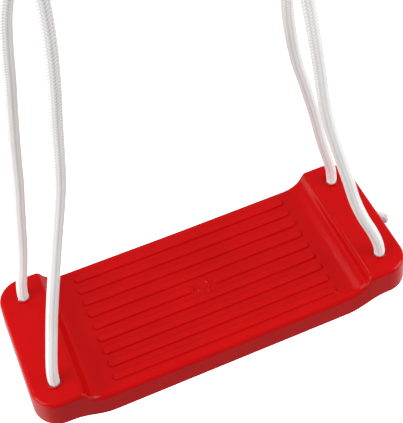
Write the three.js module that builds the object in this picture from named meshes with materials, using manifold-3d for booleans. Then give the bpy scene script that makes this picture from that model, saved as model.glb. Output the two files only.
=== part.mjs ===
// A board swing seat hung on two ropes.
//
// A flat moulded seat shell has a rope through each of its four corner holes. The two left holes share one
// rope and the two right holes another. Each rope is knotted under both of its holes, and its bight lies
// round a steel thimble, closed by a twine seizing. A welded ring through each thimble hangs on a hook.
//
// Millimetres, +Z up. +X runs along the seat, +Y to its back. The origin is midway between the two rings, at
// the height where the hooks bear on them. The seat's own heights are given above its deck.

import * as THREE from 'three';
import { mergeVertices } from 'three/addons/utils/BufferGeometryUtils.js';
import Module from 'manifold-3d';

const wasm = await Module();
wasm.setup();

// ---------------------------------------------------------------- driving dimensions

const SEAT = {
  halfLength: 206.3,
  halfWidth: 80,
  cornerRadius: 26,
  edgeRadius: 6,
  wall: 3,
  draft: 2.5, // how much the skirt spreads on its way down
  deckSag: 1, // the deck falls this much from each end to its middle
  padHeight: 20.4, // end pads, above the deck
  slopeFoot: 133, // where the deck turns up towards the pads
  slopeRadius: 24,
  padEdge: 6, // the round where a slope meets its pad
  skirtDepth: 28, // below the deck, at the middle of the seat
  skirtRise: 14, // how much higher the skirt ends under the pads
  skirtRiseFrom: 128,
  skirtRiseTo: 180,
};
const RIDGE = {
  count: 9,
  pitch: 15.9,
  halfLength: 125,
  width: 9,
  height: 2.4,
  edge: 1.2,
  middleGap: 11,
  sink: 1.6,
};
const BADGE = { radius: 6.5, wire: 1.4 }; // the small raised ring in the middle of the deck
const HOLE = { x: 180, y: 53.8, bore: 12.7, lip: 16.3, lipHeight: 1.1, boss: 20, bossDepth: 4 };
const RIB = {
  thickness: 2.4,
  bottom: -17,
  bottomAtEnds: -7,
  longTop: -2, // inside the deck's wall all the way
  longY: [-26.5, 26.5],
  crossX: [-138, -92, -46, 0, 46, 92, 138],
};
const ROPE = { diameter: 11.5, sides: 10, steps: 80, seat: 1.3 }; // seat: clear of the thimble's groove
const KNOT = { radius: 17.2, height: 38, round: 12 };
const TOP = { x: 92, seizingBottom: 488, seizingLength: 24, pointGap: 4 }; // heights above the deck
const THIMBLE = { radius: 18, band: 2.5, width: 13, pointDrop: 46 };
const SEIZING = { wall: 2.4, clear: 0.6 };
const RING = { radius: 24, wire: 4 };
const GAP = 0.3;

// ---------------------------------------------------------------- what follows from them

const legSpread = ROPE.diameter / 2 + GAP; // half the distance between the two legs in the seizing
const thimblePoint = TOP.seizingBottom + TOP.seizingLength + TOP.pointGap;
const crownHeight = thimblePoint + THIMBLE.pointDrop;
const crownRope = THIMBLE.radius + ROPE.seat + ROPE.diameter / 2;
const tangentAngle = Math.asin(THIMBLE.radius / THIMBLE.pointDrop);
const ringInside = RING.radius - RING.wire;
const ringRise = ringInside - Math.sqrt(ringInside ** 2 - (THIMBLE.width / 2) ** 2);
const pivotHeight = crownHeight + THIMBLE.radius - THIMBLE.band - RING.wire - ringRise - GAP;
const hookHeight = pivotHeight + 2 * RING.radius - RING.wire;

const FINISH = {
  seat: { color: '#c8161b', roughness: 0.28, metalness: 0 },
  rope: { color: '#ecebe8', roughness: 0.85, metalness: 0 },
  twine: { color: '#d9d5cb', roughness: 0.9, metalness: 0 },
  zinc: { color: '#b9bdc1', roughness: 0.38, metalness: 1 },
};

const object = new THREE.Group();
object.name = 'board_swing_seat';
const fromDeck = new THREE.Group(); // its children's heights are above the deck
fromDeck.position.z = -hookHeight;
object.add(fromDeck);

// ---------------------------------------------------------------- helpers

/** A closed geometry as a solid that can be joined and cut. */
function solid(geometry) {
  const bare = geometry.index ? geometry.clone() : geometry;
  for (const name of ['normal', 'uv']) bare.deleteAttribute(name);
  const merged = mergeVertices(bare, 1e-4);
  return new wasm.Manifold(new wasm.Mesh({
    numProp: 3,
    vertProperties: new Float32Array(merged.attributes.position.array),
    triVerts: new Uint32Array(merged.index.array),
  }));
}

/** A solid as a geometry. */
function geometryOf(shape) {
  const mesh = shape.getMesh();
  const geometry = new THREE.BufferGeometry();
  geometry.setAttribute('position', new THREE.BufferAttribute(mesh.vertProperties, 3));
  geometry.setIndex(new THREE.BufferAttribute(mesh.triVerts, 1));
  geometry.computeVertexNormals();
  return geometry;
}

/** Adds one named piece. */
function add(name, geometry, finish, parent = fromDeck) {
  const mesh = new THREE.Mesh(geometry, new THREE.MeshStandardMaterial(FINISH[finish]));
  mesh.name = name;
  parent.add(mesh);
  return mesh;
}

/** An upright cylinder between two heights. */
function post(x, y, diameter, bottom, top, sides = 18) {
  const geometry = new THREE.CylinderGeometry(diameter / 2, diameter / 2, top - bottom, sides);
  geometry.rotateX(Math.PI / 2);
  return geometry.translate(x, y, (top + bottom) / 2);
}

/** A box between two corners. */
function block(low, high) {
  const [a, b, c] = low.map((v, i) => high[i] - v);
  return new THREE.BoxGeometry(a, b, c).translate(low[0] + a / 2, low[1] + b / 2, low[2] + c / 2);
}

/** A bar with round ends along X. */
function stadium(x0, x1, radius) {
  const shape = new THREE.Shape();
  shape.absarc(x1 - radius, 0, radius, -Math.PI / 2, Math.PI / 2, false);
  shape.absarc(x0 + radius, 0, radius, Math.PI / 2, 1.5 * Math.PI, false);
  shape.closePath();
  return shape;
}

// ---------------------------------------------------------------- seat shell

/** Height of the seat's upper surface, or of the surface a wall's thickness under it. */
function deckHeight(x, under = 0) {
  const along = Math.abs(x) - SEAT.slopeFoot;
  if (along <= 0) return SEAT.deckSag * (along / SEAT.slopeFoot) - under;
  const { slopeRadius, padEdge, padHeight } = SEAT;
  const [arc, round] = [slopeRadius + under, padEdge - under];
  const over = Math.sqrt((arc + round) ** 2 - (slopeRadius - padHeight + padEdge) ** 2);
  if (along >= over) return padHeight - under;
  const meeting = (over * arc) / (arc + round);
  if (along > meeting) return padHeight - padEdge + Math.sqrt(round ** 2 - (along - over) ** 2);
  return slopeRadius - Math.sqrt(arc ** 2 - along ** 2);
}

/** Height of the skirt's lower edge. */
function skirtHeight(x) {
  const t = (Math.abs(x) - SEAT.skirtRiseFrom) / (SEAT.skirtRiseTo - SEAT.skirtRiseFrom);
  const eased = THREE.MathUtils.smootherstep(t, 0, 1);
  return -SEAT.skirtDepth + SEAT.skirtRise * eased;
}

/** The front half of the seat's outline, from its left end to its right, grown by an offset. */
function halfOutline(offset) {
  const radius = SEAT.cornerRadius + offset;
  const cx = SEAT.halfLength - SEAT.cornerRadius;
  const cy = SEAT.halfWidth - SEAT.cornerRadius;
  const left = [];
  const cornerSteps = 7;
  for (let i = 0; i <= cornerSteps; i += 1) {
    const angle = (Math.PI / 2) * (i / cornerSteps);
    left.push([-cx - radius * Math.cos(angle), -cy - radius * Math.sin(angle)]);
  }
  const onSlope = [161.42, 159.5, 157.7, 156.5, 155.6, 154, 151, 147, 142, 137, SEAT.slopeFoot];
  const stations = [169, ...onSlope, 128, 90, 45];
  for (const x of stations) {
    left.push([-x, -cy - radius]);
  }
  const right = left.map(([x, y]) => [-x, y]).reverse();
  return [...left, [0, -cy - radius], ...right];
}

/** A closed shell lofted through rings that all have the front half above, mirrored to the back. */
function loft(rings) {
  const positions = [];
  const faces = [];
  const half = halfOutline(0).length;
  const around = 2 * half;
  for (const { offset, height } of rings) {
    const front = halfOutline(offset);
    const back = front.map(([x, y]) => [x, -y]).reverse();
    for (const [x, y] of [...front, ...back]) positions.push(x, y, height(x));
  }
  for (let r = 0; r + 1 < rings.length; r += 1) {
    for (let i = 0; i < around; i += 1) {
      const j = (i + 1) % around;
      const [a, b, c, d] = [r * around + i, r * around + j, (r + 1) * around + j, (r + 1) * around + i];
      faces.push(a, b, c, a, c, d);
    }
  }
  const cap = (start, flip) => {
    for (let i = 0; i + 1 < half; i += 1) {
      const [a, b] = [start + i, start + i + 1];
      const [c, d] = [start + around - 2 - i, start + around - 1 - i];
      if (flip) faces.push(a, c, b, a, d, c);
      else faces.push(a, b, c, a, c, d);
    }
  };
  cap((rings.length - 1) * around, false);
  cap(0, true);
  const geometry = new THREE.BufferGeometry();
  geometry.setAttribute('position', new THREE.Float32BufferAttribute(positions, 3));
  geometry.setIndex(faces);
  return geometry;
}

/** The shell: an outer skin with a rounded top edge, closed by the inner skin a wall's thickness away. */
function seatShell() {
  const { edgeRadius: edge, wall, draft } = SEAT;
  const fillet = [0, 30, 60, 90].map((degrees) => {
    const angle = THREE.MathUtils.degToRad(degrees);
    const inset = edge * (1 - Math.cos(angle));
    const drop = edge * (1 - Math.sin(angle));
    return { offset: -inset, height: (x) => deckHeight(x) - drop };
  });
  return loft([
    { offset: -wall - 1, height: (x) => deckHeight(x, wall) },
    { offset: draft - wall, height: skirtHeight },
    { offset: draft, height: skirtHeight },
    ...fillet,
  ]);
}

/** The raised grip ridges; the middle one stops short of the ring at the centre. */
function ridges() {
  const bars = [];
  const { halfLength, height, sink, edge, middleGap, width } = RIDGE;
  for (let i = 0; i < RIDGE.count; i += 1) {
    const y = (i - (RIDGE.count - 1) / 2) * RIDGE.pitch;
    const middle = 2 * i === RIDGE.count - 1;
    const spans = middle ? [[-halfLength, -middleGap], [middleGap, halfLength]] : [[-halfLength, halfLength]];
    for (const [x0, x1] of spans) {
      const shape = stadium(x0 + edge, x1 - edge, width / 2 - edge);
      const bar = new THREE.ExtrudeGeometry(shape, {
        depth: height + sink - 2 * edge,
        curveSegments: 4,
        bevelThickness: edge,
        bevelSize: edge,
        bevelSegments: 1,
      });
      bars.push(bar.translate(0, y, edge - sink));
    }
  }
  return bars;
}

/** Ribs under the deck, as boxes that run into the walls. */
function ribs() {
  const { thickness, bottom, bottomAtEnds, longTop, longY, crossX } = RIB;
  const inner = SEAT.halfWidth - SEAT.wall;
  const last = Math.max(...crossX);
  const long = longY.map((y) => {
    const [front, back] = [y - thickness / 2, y + thickness / 2];
    return block([-last, front, bottom], [last, back, longTop]);
  });
  const cross = crossX.map((x) => {
    const low = Math.abs(x) === last ? bottomAtEnds : bottom;
    const top = deckHeight(Math.abs(x) - thickness / 2, SEAT.wall) + 0.2;
    return block([x - thickness / 2, -inner, low], [x + thickness / 2, inner, top]);
  });
  return [...long, ...cross];
}

/** The four hole places, with the names of their corners. */
const corners = [
  { side: 'left', end: 'front', sx: -1, sy: -1 },
  { side: 'left', end: 'back', sx: -1, sy: 1 },
  { side: 'right', end: 'front', sx: 1, sy: -1 },
  { side: 'right', end: 'back', sx: 1, sy: 1 },
];

function seat() {
  let body = solid(seatShell());
  const bossBottom = SEAT.padHeight - HOLE.bossDepth;
  const lipWire = (HOLE.lip - HOLE.bore) / 4;
  for (const part of [...ridges(), ...ribs()]) body = body.add(solid(part));
  const badge = new THREE.TorusGeometry(BADGE.radius, BADGE.wire, 6, 20).translate(0, 0, -SEAT.deckSag + 0.2);
  body = body.add(solid(badge));
  for (const { sx, sy } of corners) {
    const [x, y] = [sx * HOLE.x, sy * HOLE.y];
    body = body.add(solid(post(x, y, HOLE.boss, bossBottom, SEAT.padHeight - 1)));
    const lip = new THREE.TorusGeometry(HOLE.bore / 2 + lipWire, lipWire, 8, 18);
    lip.scale(1, 1, HOLE.lipHeight / lipWire);
    body = body.add(solid(lip.translate(x, y, SEAT.padHeight)));
  }
  for (const { sx, sy } of corners) {
    const bore = post(sx * HOLE.x, sy * HOLE.y, HOLE.bore, bossBottom - 5, SEAT.padHeight + 5);
    body = body.subtract(solid(bore));
  }
  return geometryOf(body);
}

add('seat', seat(), 'seat');

// ---------------------------------------------------------------- ropes

// Each leg's route from its hole to the seizing: x, y and the height above the deck.
const LEGS = {
  left_front: [
    [-180, -53.8, 16.2], [-180, -53.8, 20], [-180, -53.8, 25], [-177.8, -52, 42], [-164, -39.5, 93],
    [-156, -35, 123], [-137, -25, 188], [-119, -18, 253], [-113, -16, 286], [-108, -14, 318],
    [-101, -12.5, 362], [-96, -10.5, 405], [-93.5, -8, 447],
  ],
  left_back: [
    [-180, 53.8, 16.2], [-180, 53.8, 20], [-180, 53.8, 25], [-177.3, 54.8, 42], [-170.5, 57.3, 66],
    [-164, 59.5, 93], [-152.5, 60, 156], [-147, 58, 188], [-142.5, 55.5, 221], [-133.5, 47.5, 286],
    [-129, 42, 318], [-117, 27, 403], [-104, 17, 447],
  ],
  right_front: [
    [180, -53.8, 16.2], [180, -53.8, 20], [180, -53.8, 25], [177.2, -53.8, 42], [169, -53.2, 66],
    [157.5, -52, 93], [147, -50, 123], [138, -48.5, 156], [112, -43, 253], [103, -39, 318],
    [98, -34, 358], [93.5, -25.5, 400], [92, -14.5, 445],
  ],
  right_back: [
    [180, 53.8, 16.2], [180, 53.8, 20], [180, 53.8, 25], [177.6, 53, 42], [171, 49.7, 66],
    [163, 46.5, 93], [155, 44, 123], [147, 41, 156], [128.5, 33, 221], [119, 29, 253],
    [105, 19, 318], [97, 10.5, 402], [94, 8, 446],
  ],
};

/** The bight: up out of the seizing, round the thimble and back down. */
function bight(x) {
  const low = [-9, 3, TOP.seizingLength].map((up) => [x, -legSpread, TOP.seizingBottom + up]);
  const arc = [];
  const last = 6;
  for (let i = 0; i <= last; i += 1) {
    const angle = Math.PI + tangentAngle - (Math.PI + 2 * tangentAngle) * (i / last);
    arc.push([x, crownRope * Math.cos(angle), crownHeight + crownRope * Math.sin(angle)]);
  }
  const back = low.map(([px, py, pz]) => [px, -py, pz]).reverse();
  return [...low, ...arc, ...back];
}

function ropeRoute(side) {
  const x = side === 'left' ? -TOP.x : TOP.x;
  const front = LEGS[`${side}_front`];
  const back = [...LEGS[`${side}_back`]].reverse();
  return [...front, ...bight(x), ...back].map((p) => new THREE.Vector3(...p));
}

/** A round tube along a route, with flat ends. */
function tube(points, diameter, sides, steps) {
  const path = new THREE.CatmullRomCurve3(points, false, 'centripetal');
  const section = new THREE.Shape();
  for (let i = 0; i < sides; i += 1) {
    const angle = (2 * Math.PI * (i + 0.5)) / sides;
    section[i ? 'lineTo' : 'moveTo']((diameter / 2) * Math.cos(angle), (diameter / 2) * Math.sin(angle));
  }
  section.closePath();
  return new THREE.ExtrudeGeometry(section, { steps, extrudePath: path, bevelEnabled: false });
}

for (const side of ['left', 'right']) {
  const rope = tube(ropeRoute(side), ROPE.diameter, ROPE.sides, ROPE.steps);
  add(`rope_${side}`, geometryOf(solid(rope)), 'rope');
}

// ---------------------------------------------------------------- stopper knots

/** Each knot's tail: the way it points as seen from above, in degrees from +X, and how far it reaches. */
const TAIL = {
  left_front: { heading: 25, reach: 44 },
  left_back: { heading: -30, reach: 48 },
  right_front: { heading: 160, reach: 45 },
  right_back: { heading: -43.5, reach: 69.5 }, // out under the end of the seat
};

/** A stopper knot as its outer shape: a squat rounded barrel with a tail. */
function stopperKnot(corner) {
  const { sx, sy, side, end } = corner;
  const top = LEGS[`${side}_${end}`][0][2] - GAP;
  const profile = new THREE.Path();
  const { radius: r, height: h, round } = KNOT;
  profile.moveTo(0, 0);
  profile.lineTo(r - round, 0);
  profile.absarc(r - round, round, round, -Math.PI / 2, 0, false);
  profile.lineTo(r, h - round);
  profile.absarc(r - round, h - round, round, 0, Math.PI / 2, false);
  profile.lineTo(0, h);
  const barrel = new THREE.LatheGeometry(profile.getPoints(3), 12);
  barrel.rotateX(Math.PI / 2);
  const { heading: degrees, reach } = TAIL[`${side}_${end}`];
  const heading = THREE.MathUtils.degToRad(degrees);
  barrel.rotateZ(heading);
  const [ahead, aside] = [Math.cos(heading), Math.sin(heading)];
  const at = (distance, height) => new THREE.Vector3(ahead * distance, aside * distance, height);
  const route = [at(3, 8), at(9, 3), at(17, 0.8), at(28, 0.3), at(reach, 0)];
  const tail = tube(route, ROPE.diameter, 8, 6);
  const knot = solid(barrel).add(solid(tail));
  return geometryOf(knot).translate(sx * HOLE.x, sy * HOLE.y, top - h);
}

for (const corner of corners) {
  add(`knot_${corner.side}_${corner.end}`, stopperKnot(corner), 'rope');
}

// ---------------------------------------------------------------- thimbles, seizings and rings

/** A teardrop outline: a round crown and two straight sides that meet at the point. */
function teardrop(radius, drop) {
  const angle = Math.asin(radius / drop);
  const shape = new THREE.Path();
  shape.moveTo(0, -drop);
  shape.lineTo(radius * Math.cos(angle), -radius * Math.sin(angle));
  shape.absarc(0, 0, radius, -angle, Math.PI + angle, false);
  shape.closePath();
  return shape;
}

/** A band of steel bent to the teardrop that the rope's bight lies round. */
function thimble(x) {
  const outer = new THREE.Shape(teardrop(THIMBLE.radius, THIMBLE.pointDrop).getPoints(14));
  const inside = THIMBLE.radius - THIMBLE.band;
  outer.holes.push(new THREE.Path(teardrop(inside, inside / Math.sin(tangentAngle)).getPoints(14)));
  const band = new THREE.ExtrudeGeometry(outer, { depth: THIMBLE.width, bevelEnabled: false });
  band.translate(0, 0, -THIMBLE.width / 2);
  band.rotateX(Math.PI / 2);
  band.rotateZ(Math.PI / 2);
  return geometryOf(solid(band)).translate(x, 0, crownHeight);
}

/** A sleeve of twine turns round both legs of the rope. */
function seizing(x) {
  const inner = ROPE.diameter / 2 + SEIZING.clear;
  const outer = inner + SEIZING.wall;
  const outline = (radius) => stadium(-legSpread - radius, legSpread + radius, radius).getPoints(8);
  const sleeveShape = new THREE.Shape(outline(outer));
  sleeveShape.holes.push(new THREE.Path(outline(inner)));
  const length = TOP.seizingLength - 2 * GAP;
  const sleeve = new THREE.ExtrudeGeometry(sleeveShape, { depth: length, bevelEnabled: false });
  sleeve.rotateZ(Math.PI / 2);
  return geometryOf(solid(sleeve)).translate(x, 0, TOP.seizingBottom + GAP);
}

/** A welded round ring, upright, with its hole facing the front. */
function hangingRing(x) {
  const ring = new THREE.TorusGeometry(RING.radius, RING.wire, 8, 32);
  ring.rotateX(Math.PI / 2);
  return geometryOf(solid(ring)).translate(x, 0, pivotHeight + RING.radius);
}

for (const [side, x] of [['left', -TOP.x], ['right', TOP.x]]) {
  add(`thimble_${side}`, thimble(x), 'zinc');
  add(`seizing_${side}`, seizing(x), 'twine');
  add(`ring_${side}`, hangingRing(x), 'zinc');
}

export default object;
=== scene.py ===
"""A board swing: a flat moulded seat hung on two ropes, each over a thimble and a welded ring.

Everything is in metres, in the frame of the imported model: +Z up, +X along the seat, +Y to its back, and the
origin midway between the two rings, where the hooks bear on them.
"""

import logging
import math
from dataclasses import dataclass, field
from enum import Enum

import bmesh
import bpy
import numpy as np
from mathutils import Matrix, Vector


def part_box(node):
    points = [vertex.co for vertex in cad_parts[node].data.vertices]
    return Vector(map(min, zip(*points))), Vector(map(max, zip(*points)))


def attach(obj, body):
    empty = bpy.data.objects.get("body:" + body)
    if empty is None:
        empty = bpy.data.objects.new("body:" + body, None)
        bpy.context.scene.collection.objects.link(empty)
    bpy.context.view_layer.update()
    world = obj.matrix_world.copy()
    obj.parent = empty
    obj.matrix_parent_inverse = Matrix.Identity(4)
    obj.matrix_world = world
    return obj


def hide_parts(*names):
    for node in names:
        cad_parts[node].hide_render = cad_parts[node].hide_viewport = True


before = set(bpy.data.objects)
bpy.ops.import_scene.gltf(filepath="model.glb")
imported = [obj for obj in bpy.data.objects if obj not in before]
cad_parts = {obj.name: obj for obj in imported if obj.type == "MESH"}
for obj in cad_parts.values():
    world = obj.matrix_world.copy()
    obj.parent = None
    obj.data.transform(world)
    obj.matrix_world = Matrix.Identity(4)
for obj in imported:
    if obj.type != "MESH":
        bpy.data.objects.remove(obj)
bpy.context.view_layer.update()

MM = 0.001
log = logging.getLogger("board_swing")


class Body(Enum):
    """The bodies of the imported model: what stays on the hooks, and what swings."""

    RINGS = "rings"
    SEAT = "hung_seat"


class Side(Enum):
    """The two ropes, with their places along X."""

    LEFT = -1
    RIGHT = 1

    @property
    def word(self) -> str:
        """The side's word in piece names."""
        return self.name.lower()


class End(Enum):
    """The front and back holes of one side, with their places along Y."""

    FRONT = -1
    BACK = 1

    @property
    def word(self) -> str:
        """The end's word in piece names."""
        return self.name.lower()


# ------------------------------------------------------------------ colours and nodes


def linear(hex_colour: str) -> tuple[float, float, float, float]:
    """Turns an sRGB hex colour into linear light.

    Args:
        hex_colour: the colour, as "#rrggbb".

    Returns:
        Red, green, blue and a full alpha, linear.
    """
    values = [int(hex_colour[i : i + 2], 16) / 255 for i in (1, 3, 5)]
    bent = [v / 12.92 if v <= 0.04045 else ((v + 0.055) / 1.055) ** 2.4 for v in values]
    return (bent[0], bent[1], bent[2], 1.0)


def add_node(
    tree: bpy.types.NodeTree, kind: str, inputs: dict | None = None, **settings: object
) -> bpy.types.Node:
    """Adds a node with its settings, values and links.

    Args:
        tree: the node tree it goes in.
        kind: the node's type, without the "ShaderNode" in front.
        inputs: a value or another node's output socket, for each input's name or number.
        settings: the node's own properties.

    Returns:
        The new node.
    """
    node = tree.nodes.new("ShaderNode" + kind)
    for name, value in settings.items():
        setattr(node, name, value)
    for name, value in (inputs or {}).items():
        if isinstance(value, bpy.types.NodeSocket):
            tree.links.new(value, node.inputs[name])
        else:
            node.inputs[name].default_value = value
    return node


def set_ramp(node: bpy.types.Node, stops: list[tuple[float, str]]) -> None:
    """Gives a Color Ramp its stops.

    Args:
        node: the Color Ramp.
        stops: place and sRGB hex colour of each stop, from 0 to 1.
    """
    ramp = node.color_ramp
    while len(ramp.elements) > 1:
        ramp.elements.remove(ramp.elements[-1])
    for i, (place, colour) in enumerate(stops):
        stop = ramp.elements[0] if i == 0 else ramp.elements.new(place)
        stop.position = place
        stop.color = linear(colour)


@dataclass(frozen=True)
class Finish:
    """What every finish has: a name and a way to become a material."""

    name: str = "finish"

    def surface(self, tree: bpy.types.NodeTree) -> bpy.types.Node:
        """Builds the finish's shader and returns it."""
        raise NotImplementedError

    def material(self) -> bpy.types.Material:
        """Returns the finish as a material, made once and then shared.

        Returns:
            The material.
        """
        found = bpy.data.materials.get(self.name)
        if found:
            return found
        made = bpy.data.materials.new(self.name)
        made.use_nodes = True
        made.node_tree.nodes.clear()
        shader = self.surface(made.node_tree)
        add_node(made.node_tree, "OutputMaterial", {"Surface": shader.outputs[0]})
        return made


@dataclass(frozen=True)
class MouldedPolyethylene(Finish):
    """Injection-moulded red polyethylene.

    The mould was polished, so the skin is glossy with a faint orange peel, and the pigment is even but for
    slow, weak clouds where the melt flowed. Every rounded edge has a soft, slightly wavering highlight.
    """

    name: str = "moulded_polyethylene_red"
    colour: str = "#b70608"
    cloud: str = "#b10607"
    roughness: float = 0.16
    haze: tuple[float, float] = (-0.03, 0.05)  # how much smoother and rougher it is in places
    ior: float = 1.52
    gloss: float = 0.09
    flow_size: float = 60 * MM
    haze_size: float = 12 * MM
    peel_size: float = 1.6 * MM
    peel_depth: float = 0.004 * MM

    def surface(self, tree: bpy.types.NodeTree) -> bpy.types.Node:
        """Builds the plastic's shader.

        Args:
            tree: the material's nodes.

        Returns:
            The shader node.
        """
        place = add_node(tree, "TexCoord").outputs["Object"]
        flow = add_node(tree, "TexNoise", {"Vector": place, "Scale": 1 / self.flow_size, "Detail": 2.0})
        tone = add_node(tree, "ValToRGB", {"Fac": flow.outputs["Fac"]})
        set_ramp(tone, [(0.35, self.cloud), (0.65, self.colour)])
        haze = add_node(
            tree,
            "TexNoise",
            {"Vector": place, "Scale": 1 / self.haze_size, "Detail": 4.0, "Roughness": 0.6},
        )
        smoother, rougher = (self.roughness + change for change in self.haze)
        rough = add_node(
            tree,
            "MapRange",
            {"Value": haze.outputs["Fac"], "From Min": 0.3, "From Max": 0.7, "To Min": smoother,
             "To Max": rougher},
        )
        peel = add_node(tree, "TexNoise", {"Vector": place, "Scale": 1 / self.peel_size, "Detail": 1.0})
        skin = add_node(
            tree, "Bump", {"Height": peel.outputs["Fac"], "Distance": self.peel_depth, "Strength": 1.0}
        )
        return add_node(
            tree,
            "BsdfPrincipled",
            {"Base Color": tone.outputs["Color"], "Roughness": rough.outputs["Result"], "IOR": self.ior,
             "Specular IOR Level": self.gloss, "Normal": skin.outputs["Normal"]},
        )


@dataclass(frozen=True)
class BraidedPolypropylene(Finish):
    """White multifilament polypropylene, machine braided.

    Each stitch is a flat bundle of fine shiny filaments, so the high parts are a slightly silky white. The
    colour greys from the high parts into the grooves between the stitches: painted shade, set by each point's
    depth in the braid. A cut end is melted to a smooth ivory plug.
    """

    name: str = "braided_polypropylene_white"
    high: str = "#f7f6f5"
    # middle and groove are painted shade: the white greys with depth into the braid's grooves
    middle: str = "#e2e0df"
    groove: str = "#bdb9b9"
    melted: str = "#ddd6c2"
    filament: float = 0.45 * MM  # real filaments are finer; these are as coarse as shows
    filament_depth: float = 0.09 * MM
    soil_size: float = 30 * MM
    ior: float = 1.49

    def surface(self, tree: bpy.types.NodeTree) -> bpy.types.Node:
        """Builds the rope's shader.

        Args:
            tree: the material's nodes.

        Returns:
            The shader node.
        """
        depth = add_node(tree, "Attribute", attribute_name="stitch").outputs["Fac"]
        melt = add_node(tree, "Attribute", attribute_name="melted").outputs["Fac"]
        # painted shade: the colour darkens from the high parts of the braid into its grooves
        tone = add_node(tree, "ValToRGB", {"Fac": depth})
        set_ramp(tone, [(0.0, self.groove), (0.5, self.middle), (0.9, self.high)])
        place = add_node(tree, "TexCoord").outputs["Object"]
        soil = add_node(tree, "TexNoise", {"Vector": place, "Scale": 1 / self.soil_size, "Detail": 3.0})
        soft = add_node(tree, "MapRange", {"Value": soil.outputs["Fac"], "To Min": 0.96, "To Max": 1.03})
        shaded = add_node(
            tree,
            "Mix",
            {"Factor": 1.0, 6: tone.outputs["Color"], 7: soft.outputs["Result"]},
            data_type="RGBA",
            blend_type="MULTIPLY",
        )
        colour = add_node(
            tree, "Mix", {"Factor": melt, 6: shaded.outputs[2], 7: linear(self.melted)}, data_type="RGBA"
        )
        rough = add_node(tree, "MapRange", {"Value": melt, "To Min": 0.62, "To Max": 0.3})
        along = add_node(tree, "UVMap", uv_map="rope")
        threads = add_node(
            tree,
            "TexWave",
            {"Vector": along.outputs["UV"], "Scale": 1 / self.filament / (2 * math.pi), "Distortion": 1.5,
             "Detail": 2.0, "Detail Scale": 0.6},
            wave_type="BANDS",
            bands_direction="DIAGONAL",
        )
        lines = add_node(
            tree, "Bump", {"Height": threads.outputs["Fac"], "Distance": self.filament_depth, "Strength": 0.6}
        )
        return add_node(
            tree,
            "BsdfPrincipled",
            {"Base Color": colour.outputs[2], "Roughness": rough.outputs["Result"], "IOR": self.ior,
             "Normal": lines.outputs["Normal"], "Sheen Weight": 0.25, "Sheen Roughness": 0.4,
             "Subsurface Weight": 0.12, "Subsurface Scale": 0.8 * MM},
        )


@dataclass(frozen=True)
class TwistedTwine(Finish):
    """Waxed cotton twine, three plies twisted together.

    The wax gives it a warm off-white and a dull shine, and the plies run as fine slanting lines. The gaps
    between the plies are darkened with painted shade.
    """

    name: str = "twisted_twine_waxed"
    ply: str = "#e3ddce"
    middle: str = "#cfc8b7"
    # the colour in the gaps between the plies is painted shade
    gap: str = "#8f8674"
    lay: float = 3.2 * MM  # length along the twine from one ply to the next
    ply_depth: float = 0.25 * MM

    def surface(self, tree: bpy.types.NodeTree) -> bpy.types.Node:
        """Builds the twine's shader.

        Args:
            tree: the material's nodes.

        Returns:
            The shader node.
        """
        along = add_node(tree, "UVMap", uv_map="rope")
        plies = add_node(
            tree,
            "TexWave",
            {"Vector": along.outputs["UV"], "Scale": 1 / self.lay / (2 * math.pi) * 2, "Distortion": 0.4},
            wave_type="BANDS",
            bands_direction="DIAGONAL",
        )
        # painted shade: the colour darkens into the gaps between the plies
        tone = add_node(tree, "ValToRGB", {"Fac": plies.outputs["Fac"]})
        set_ramp(tone, [(0.0, self.gap), (0.3, self.middle), (0.7, self.ply)])
        lines = add_node(
            tree, "Bump", {"Height": plies.outputs["Fac"], "Distance": self.ply_depth, "Strength": 0.8}
        )
        return add_node(
            tree,
            "BsdfPrincipled",
            {"Base Color": tone.outputs["Color"], "Roughness": 0.6, "Normal": lines.outputs["Normal"],
             "Sheen Weight": 0.15},
        )


@dataclass(frozen=True)
class ZincPlatedSteel(Finish):
    """Bright zinc-plated steel, bent and plated in a barrel.

    The plating is a clean blue-white grey with small dull and bright patches from the tumbling, over a
    faint hammered grain.
    """

    name: str = "zinc_plated_steel"
    bright: str = "#cdd2d8"
    dull: str = "#a9adb0"
    patch_size: float = 6 * MM
    grain: float = 1.6 * MM
    grain_depth: float = 0.05 * MM

    def surface(self, tree: bpy.types.NodeTree) -> bpy.types.Node:
        """Builds the plated steel's shader.

        Args:
            tree: the material's nodes.

        Returns:
            The shader node.
        """
        place = add_node(tree, "TexCoord").outputs["Object"]
        patches = add_node(
            tree,
            "TexNoise",
            {"Vector": place, "Scale": 1 / self.patch_size, "Detail": 4.0, "Roughness": 0.65},
        )
        tone = add_node(tree, "ValToRGB", {"Fac": patches.outputs["Fac"]})
        set_ramp(tone, [(0.35, self.dull), (0.65, self.bright)])
        rough = add_node(
            tree,
            "MapRange",
            {"Value": patches.outputs["Fac"], "From Min": 0.3, "From Max": 0.7, "To Min": 0.42,
             "To Max": 0.24},
        )
        grain = add_node(tree, "TexNoise", {"Vector": place, "Scale": 1 / self.grain, "Detail": 2.0})
        bump = add_node(
            tree, "Bump", {"Height": grain.outputs["Fac"], "Distance": self.grain_depth, "Strength": 0.7}
        )
        return add_node(
            tree,
            "BsdfPrincipled",
            {"Base Color": tone.outputs["Color"], "Metallic": 1.0, "Roughness": rough.outputs["Result"],
             "Normal": bump.outputs["Normal"]},
        )


# ------------------------------------------------------------------ making pieces


def make_object(name: str, bm: bmesh.types.BMesh, finish: Finish) -> bpy.types.Object:
    """Turns a finished bmesh into an object at the origin.

    Args:
        name: the piece's name.
        bm: its shape; it is freed.
        finish: what it is made of.

    Returns:
        The object.
    """
    mesh = bpy.data.meshes.new(name)
    bm.to_mesh(mesh)
    bm.free()
    mesh.materials.append(finish.material())
    piece = bpy.data.objects.new(name, mesh)
    bpy.context.scene.collection.objects.link(piece)
    return piece


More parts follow.
